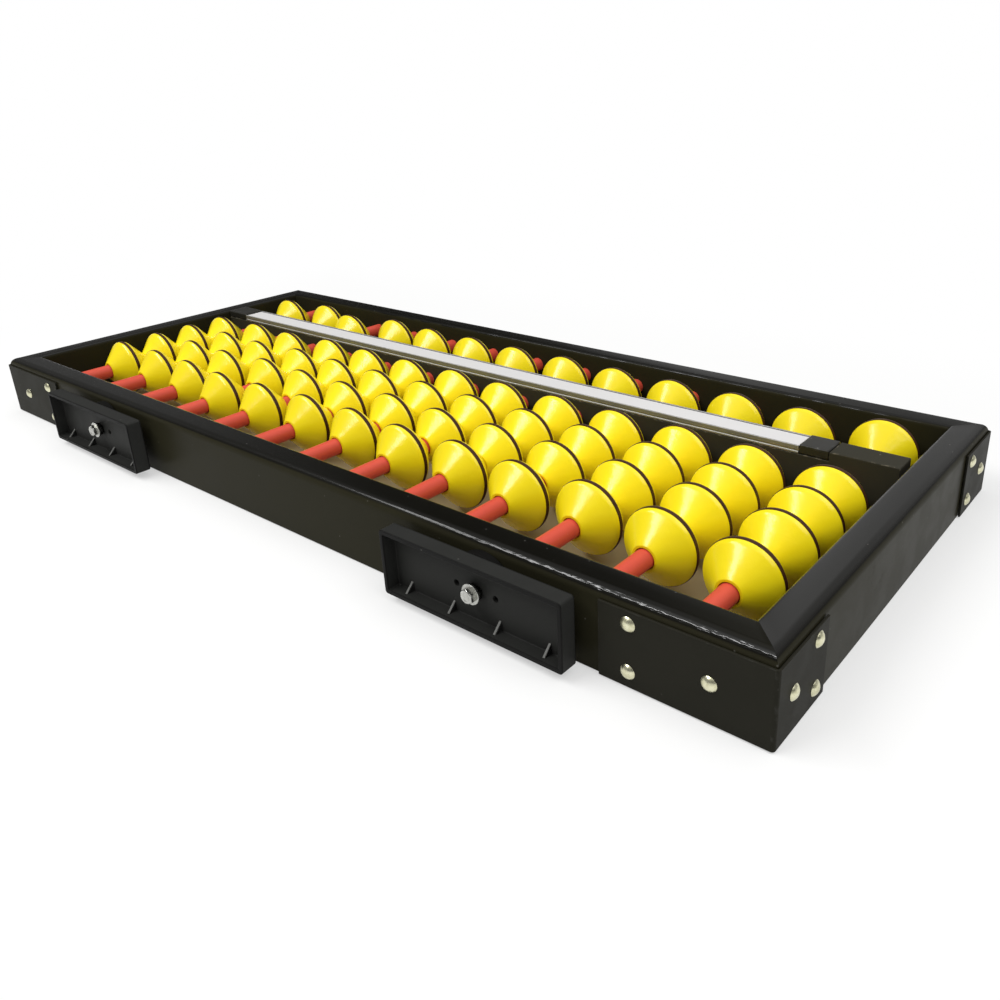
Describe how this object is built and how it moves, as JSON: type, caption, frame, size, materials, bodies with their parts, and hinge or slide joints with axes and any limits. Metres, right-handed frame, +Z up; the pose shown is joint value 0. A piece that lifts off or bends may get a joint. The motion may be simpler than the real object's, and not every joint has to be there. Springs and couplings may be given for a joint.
{
  "type": "abacus",
  "caption": "Large demonstration abacus: a mitred rail frame with a divider beam, rods with sliding double-cone beads, corner covers and swivel feet.",
  "frame": {"origin": "middle of the footprint, feet and rivets included, on the surface that the abacus lies on", "axes": "+X along the long rails to the right as the user sees it, +Y from the user's side, where the feet are, to the far side, +Z up out of the face"},
  "size_m": [0.5832, 0.2606, 0.0413],
  "materials": {
    "rail_film": "gloss",
    "beam_film": "satin",
    "rod_red": "gloss",
    "bead_yellow": "gloss",
    "bead_band": "satin",
    "channel_aluminium": "satin",
    "strip_white": "satin",
    "block_black": "gloss",
    "cover_paint": "satin",
    "rivet_nickel": "gloss",
    "foot_black": "matte",
    "zinc_steel": "gloss"
  },
  "bodies": {
    "frame": {"front_rail": "rail_film", "back_rail": "rail_film", "left_rail": "rail_film", "right_rail": "rail_film", "divider_beam": "beam_film", "label_channel": "channel_aluminium", "label_strip": "strip_white", "left_end_block": "block_black", "right_end_block": "block_black", "corner_cover_front_left": "cover_paint", "corner_cover_front_right": "cover_paint", "corner_cover_back_left": "cover_paint", "corner_cover_back_right": "cover_paint", "spacer_left": "foot_black", "spacer_right": "foot_black", "pivot_bolt_left": "zinc_steel", "pivot_bolt_right": "zinc_steel", "spring_washer_left": "zinc_steel", "spring_washer_right": "zinc_steel"},
    "upper_bead_01": {"upper_bead_01": "bead_yellow"},
    "lower_trio_01": {"lower_trio_01": "bead_yellow"},
    "front_bead_01": {"front_bead_01": "bead_yellow"},
    "upper_bead_02": {"upper_bead_02": "bead_yellow"},
    "lower_trio_02": {"lower_trio_02": "bead_yellow"},
    "front_bead_02": {"front_bead_02": "bead_yellow"},
    "upper_bead_03": {"upper_bead_03": "bead_yellow"},
    "lower_trio_03": {"lower_trio_03": "bead_yellow"},
    "front_bead_03": {"front_bead_03": "bead_yellow"},
    "upper_bead_04": {"upper_bead_04": "bead_yellow"},
    "lower_trio_04": {"lower_trio_04": "bead_yellow"},
    "front_bead_04": {"front_bead_04": "bead_yellow"},
    "upper_bead_05": {"upper_bead_05": "bead_yellow"},
    "lower_trio_05": {"lower_trio_05": "bead_yellow"},
    "front_bead_05": {"front_bead_05": "bead_yellow"},
    "upper_bead_06": {"upper_bead_06": "bead_yellow"},
    "lower_trio_06": {"lower_trio_06": "bead_yellow"},
    "front_bead_06": {"front_bead_06": "bead_yellow"},
    "upper_bead_07": {"upper_bead_07": "bead_yellow"},
    "lower_trio_07": {"lower_trio_07": "bead_yellow"},
    "front_bead_07": {"front_bead_07": "bead_yellow"},
    "upper_bead_08": {"upper_bead_08": "bead_yellow"},
    "lower_trio_08": {"lower_trio_08": "bead_yellow"},
    "front_bead_08": {"front_bead_08": "bead_yellow"},
    "upper_bead_09": {"upper_bead_09": "bead_yellow"},
    "lower_trio_09": {"lower_trio_09": "bead_yellow"},
    "front_bead_09": {"front_bead_09": "bead_yellow"},
    "upper_bead_10": {"upper_bead_10": "bead_yellow"},
    "lower_trio_10": {"lower_trio_10": "bead_yellow"},
    "front_bead_10": {"front_bead_10": "bead_yellow"},
    "upper_bead_11": {"upper_bead_11": "bead_yellow"},
    "lower_trio_11": {"lower_trio_11": "bead_yellow"},
    "front_bead_11": {"front_bead_11": "bead_yellow"},
    "upper_bead_12": {"upper_bead_12": "bead_yellow"},
    "lower_trio_12": {"lower_trio_12": "bead_yellow"},
    "front_bead_12": {"front_bead_12": "bead_yellow"},
    "upper_bead_13": {"upper_bead_13": "bead_yellow"},
    "lower_trio_13": {"lower_trio_13": "bead_yellow"},
    "front_bead_13": {"front_bead_13": "bead_yellow"},
    "foot_right": {"foot_right": "foot_black"},
    "foot_left": {"foot_left": "foot_black"}
  },
  "joints": [
    {"name": "upper_bead_01_slide", "type": "slide", "parent": "frame", "child": "upper_bead_01", "axis": [0, -1, 0], "range_m": [-0.0106, 0.0115]},
    {"name": "lower_trio_01_slide", "type": "slide", "parent": "frame", "child": "lower_trio_01", "axis": [0, -1, 0], "range_m": [-0.0092, 0.03101]},
    {"name": "front_bead_01_slide", "type": "slide", "parent": "lower_trio_01", "child": "front_bead_01", "axis": [0, 1, 0], "range_m": [-0.03101, 0.0002]},
    {"name": "upper_bead_02_slide", "type": "slide", "parent": "frame", "child": "upper_bead_02", "axis": [0, -1, 0], "range_m": [-0.00515, 0.01695]},
    {"name": "lower_trio_02_slide", "type": "slide", "parent": "frame", "child": "lower_trio_02", "axis": [0, -1, 0], "range_m": [-0.00631, 0.0334]},
    {"name": "front_bead_02_slide", "type": "slide", "parent": "lower_trio_02", "child": "front_bead_02", "axis": [0, 1, 0], "range_m": [-0.0334, 0.00069]},
    {"name": "upper_bead_03_slide", "type": "slide", "parent": "frame", "child": "upper_bead_03", "axis": [0, -1, 0], "range_m": [-0.01514, 0.00696]},
    {"name": "lower_trio_03_slide", "type": "slide", "parent": "frame", "child": "lower_trio_03", "axis": [0, -1, 0], "range_m": [-0.00713, 0.03274]},
    {"name": "front_bead_03_slide", "type": "slide", "parent": "lower_trio_03", "child": "front_bead_03", "axis": [0, 1, 0], "range_m": [-0.03274, 0.00053]},
    {"name": "upper_bead_04_slide", "type": "slide", "parent": "frame", "child": "upper_bead_04", "axis": [0, -1, 0], "range_m": [-0.00606, 0.01605]},
    {"name": "lower_trio_04_slide", "type": "slide", "parent": "frame", "child": "lower_trio_04", "axis": [0, -1, 0], "range_m": [-0.003, 0.03026]},
    {"name": "front_bead_04_slide", "type": "slide", "parent": "lower_trio_04", "child": "front_bead_04", "axis": [0, 1, 0], "range_m": [-0.03026, 0.00713]},
    {"name": "upper_bead_05_slide", "type": "slide", "parent": "frame", "child": "upper_bead_05", "axis": [0, -1, 0], "range_m": [-0.00878, 0.01332]},
    {"name": "lower_trio_05_slide", "type": "slide", "parent": "frame", "child": "lower_trio_05", "axis": [0, -1, 0], "range_m": [-0.00424, 0.03191]},
    {"name": "front_bead_05_slide", "type": "slide", "parent": "lower_trio_05", "child": "front_bead_05", "axis": [0, 1, 0], "range_m": [-0.03191, 0.00424]},
    {"name": "upper_bead_06_slide", "type": "slide", "parent": "frame", "child": "upper_bead_06", "axis": [0, -1, 0], "range_m": [-0.00878, 0.01332]},
    {"name": "lower_trio_06_slide", "type": "slide", "parent": "frame", "child": "lower_trio_06", "axis": [0, -1, 0], "range_m": [-0.00424, 0.0348]},
    {"name": "front_bead_06_slide", "type": "slide", "parent": "lower_trio_06", "child": "front_bead_06", "axis": [0, 1, 0], "range_m": [-0.0348, 0.00135]},
    {"name": "upper_bead_07_slide", "type": "slide", "parent": "frame", "child": "upper_bead_07", "axis": [0, -1, 0], "range_m": [-0.00969, 0.01241]},
    {"name": "lower_trio_07_slide", "type": "slide", "parent": "frame", "child": "lower_trio_07", "axis": [0, -1, 0], "range_m": [-0.003, 0.03563]},
    {"name": "front_bead_07_slide", "type": "slide", "parent": "lower_trio_07", "child": "front_bead_07", "axis": [0, 1, 0], "range_m": [-0.03563, 0.00177]},
    {"name": "upper_bead_08_slide", "type": "slide", "parent": "frame", "child": "upper_bead_08", "axis": [0, -1, 0], "range_m": [-0.00855, 0.01355]},
    {"name": "lower_trio_08_slide", "type": "slide", "parent": "frame", "child": "lower_trio_08", "axis": [0, -1, 0], "range_m": [-0.00424, 0.03398]},
    {"name": "front_bead_08_slide", "type": "slide", "parent": "lower_trio_08", "child": "front_bead_08", "axis": [0, 1, 0], "range_m": [-0.03398, 0.00218]},
    {"name": "upper_bead_09_slide", "type": "slide", "parent": "frame", "child": "upper_bead_09", "axis": [0, -1, 0], "range_m": [-0.00969, 0.01241]},
    {"name": "lower_trio_09_slide", "type": "slide", "parent": "frame", "child": "lower_trio_09", "axis": [0, -1, 0], "range_m": [-0.00424, 0.03563]},
    {"name": "front_bead_09_slide", "type": "slide", "parent": "lower_trio_09", "child": "front_bead_09", "axis": [0, 1, 0], "range_m": [-0.03563, 0.00053]},
    {"name": "upper_bead_10_slide", "type": "slide", "parent": "frame", "child": "upper_bead_10", "axis": [0, -1, 0], "range_m": [-0.00969, 0.01241]},
    {"name": "lower_trio_10_slide", "type": "slide", "parent": "frame", "child": "lower_trio_10", "axis": [0, -1, 0], "range_m": [-0.00466, 0.03398]},
    {"name": "front_bead_10_slide", "type": "slide", "parent": "lower_trio_10", "child": "front_bead_10", "axis": [0, 1, 0], "range_m": [-0.03398, 0.00177]},
    {"name": "upper_bead_11_slide", "type": "slide", "parent": "frame", "child": "upper_bead_11", "axis": [0, -1, 0], "range_m": [-0.00969, 0.01241]},
    {"name": "lower_trio_11_slide", "type": "slide", "parent": "frame", "child": "lower_trio_11", "axis": [0, -1, 0], "range_m": [-0.00466, 0.03555]},
    {"name": "front_bead_11_slide", "type": "slide", "parent": "lower_trio_11", "child": "front_bead_11", "axis": [0, 1, 0], "range_m": [-0.03555, 0.0002]},
    {"name": "upper_bead_12_slide", "type": "slide", "parent": "frame", "child": "upper_bead_12", "axis": [0, -1, 0], "range_m": [-0.01014, 0.01196]},
    {"name": "lower_trio_12_slide", "type": "slide", "parent": "frame", "child": "lower_trio_12", "axis": [0, -1, 0], "range_m": [-0.00672, 0.03191]},
    {"name": "front_bead_12_slide", "type": "slide", "parent": "lower_trio_12", "child": "front_bead_12", "axis": [0, 1, 0], "range_m": [-0.03191, 0.00177]},
    {"name": "upper_bead_13_slide", "type": "slide", "parent": "frame", "child": "upper_bead_13", "axis": [0, -1, 0], "range_m": [-0.00311, 0.019]},
    {"name": "lower_trio_13_slide", "type": "slide", "parent": "frame", "child": "lower_trio_13", "axis": [0, -1, 0], "range_m": [-0.00837, 0.02861]},
    {"name": "front_bead_13_slide", "type": "slide", "parent": "lower_trio_13", "child": "front_bead_13", "axis": [0, 1, 0], "range_m": [-0.02861, 0.00342]},
    {"name": "foot_right_swivel", "type": "hinge", "parent": "frame", "child": "foot_right", "pos_m": [0.1612, -0.12155, 0.0192], "axis": [0, -1, 0], "range_deg": [-90, 90]},
    {"name": "foot_left_swivel", "type": "hinge", "parent": "frame", "child": "foot_left", "pos_m": [-0.151, -0.12155, 0.0192], "axis": [0, -1, 0], "range_deg": [-90, 90]}
  ]
}
